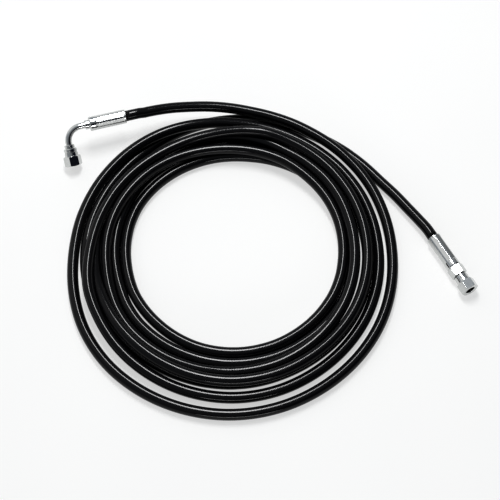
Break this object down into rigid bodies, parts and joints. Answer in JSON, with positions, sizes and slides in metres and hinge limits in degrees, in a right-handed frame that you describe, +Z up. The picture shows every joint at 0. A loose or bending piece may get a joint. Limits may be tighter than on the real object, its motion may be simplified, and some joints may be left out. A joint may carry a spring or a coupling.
{
  "type": "hydraulic hose assembly",
  "caption": "Black hydraulic hose laid in a loose coil, with a crimped 90 degree swept elbow at one end and a crimped straight stem at the other, each with a hexagonal swivel nut.",
  "frame": {"origin": "on the floor, midway between the two end fittings", "axes": "+Z up from the floor; +X from the elbow end towards the straight end; +Y away from the coil's front"},
  "size_m": [0.4988, 0.4195, 0.0452],
  "materials": {
    "plated_ferrule": "bright zinc plated steel, crimped",
    "plated_stem": "bright zinc plated steel, turned",
    "plated_tube": "bright zinc plated drawn tube",
    "plated_nut": "bright zinc plated steel hexagon",
    "spring_wire": "drawn spring steel wire",
    "seal": "moulded nitrile rubber",
    "liner": "extruded thermoplastic liner",
    "braid": "braided synthetic fibre",
    "hose_cover": "glossy black cover that shows the braid beneath it"
  },
  "bodies": {
    "root": {"elbow_ferrule": "plated_ferrule", "elbow_hose_tail": "plated_stem", "elbow_liner_end": "liner", "elbow_braid_end": "braid", "elbow_cover_end": "hose_cover", "elbow_tube": "plated_tube", "elbow_swivel_head": "plated_stem", "elbow_oring": "seal", "straight_ferrule": "plated_ferrule", "straight_stem": "plated_stem", "straight_liner_end": "liner", "straight_braid_end": "braid", "straight_cover_end": "hose_cover", "straight_oring": "seal", "hose_lead_elbow": "hose_cover", "hose_coil": "hose_cover", "hose_lead_straight": "hose_cover"},
    "elbow_nut": {"elbow_nut": "plated_nut", "elbow_nut_wire": "spring_wire"},
    "straight_nut": {"straight_nut": "plated_nut", "straight_nut_wire": "spring_wire"}
  },
  "joints": [
    {"name": "elbow_nut_spin", "type": "hinge", "parent": "root", "child": "elbow_nut", "pos_m": [-0.24055, 0.06692, 0.01505], "axis": [0.2025, -0.7391, -0.6424], "continuous": true},
    {"name": "straight_nut_spin", "type": "hinge", "parent": "root", "child": "straight_nut", "pos_m": [0.23363, -0.10937, 0.01117], "axis": [0.4695, -0.8829, 0], "continuous": true}
  ]
}
